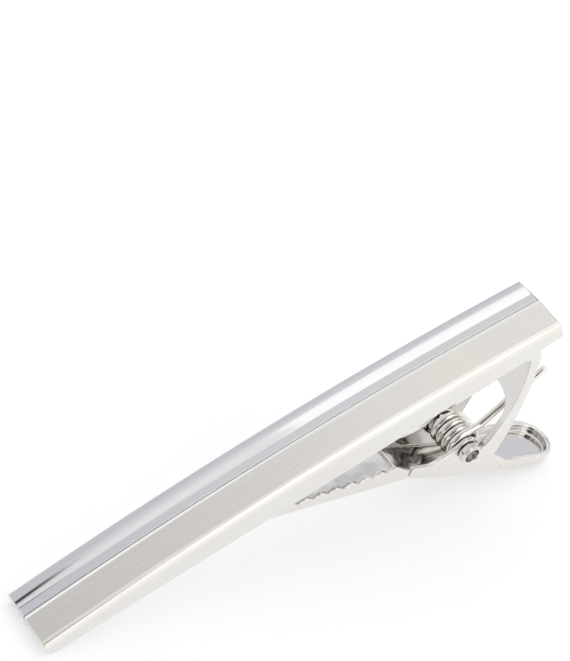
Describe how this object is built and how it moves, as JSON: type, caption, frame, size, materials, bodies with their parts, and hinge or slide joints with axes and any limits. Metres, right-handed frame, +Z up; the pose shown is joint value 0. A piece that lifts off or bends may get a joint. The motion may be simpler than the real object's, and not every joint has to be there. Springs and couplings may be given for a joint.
{
  "type": "tie clip",
  "caption": "Slim silver-tone tie clip: crowned bar with a brushed land and polished edge bands, and a sprung toothed pinch clasp hinged under one end.",
  "frame": {"origin": "on the table under the middle of the outline, with the clip lying as it rests by itself, on the bar's left tip and the thumb tail", "axes": "+X along the clip towards its hinge end, +Y across the bar towards the polished back edge, +Z up"},
  "size_m": [0.0614, 0.0072, 0.0226],
  "materials": {
    "bar_plating": "silver-tone plated brass, lengthwise brushed land, polished bands",
    "clasp_plating": "bright plated pressed sheet",
    "spring_wire": "bright drawn spring wire"
  },
  "bodies": {
    "bar": {"tie_bar": "bar_plating", "hinge_bracket": "clasp_plating", "hinge_pin": "clasp_plating", "torsion_spring": "spring_wire"},
    "lever": {"jaw_lever": "clasp_plating"}
  },
  "joints": [
    {"name": "jaw_hinge", "type": "hinge", "parent": "bar", "child": "lever", "pos_m": [0.01708, 0, 0.00691], "axis": [0, -1, 0], "range_deg": [0, 30], "stiffness_Nm_per_rad": 0.02, "springref_deg": -85.94, "deforming": ["torsion_spring"]}
  ]
}
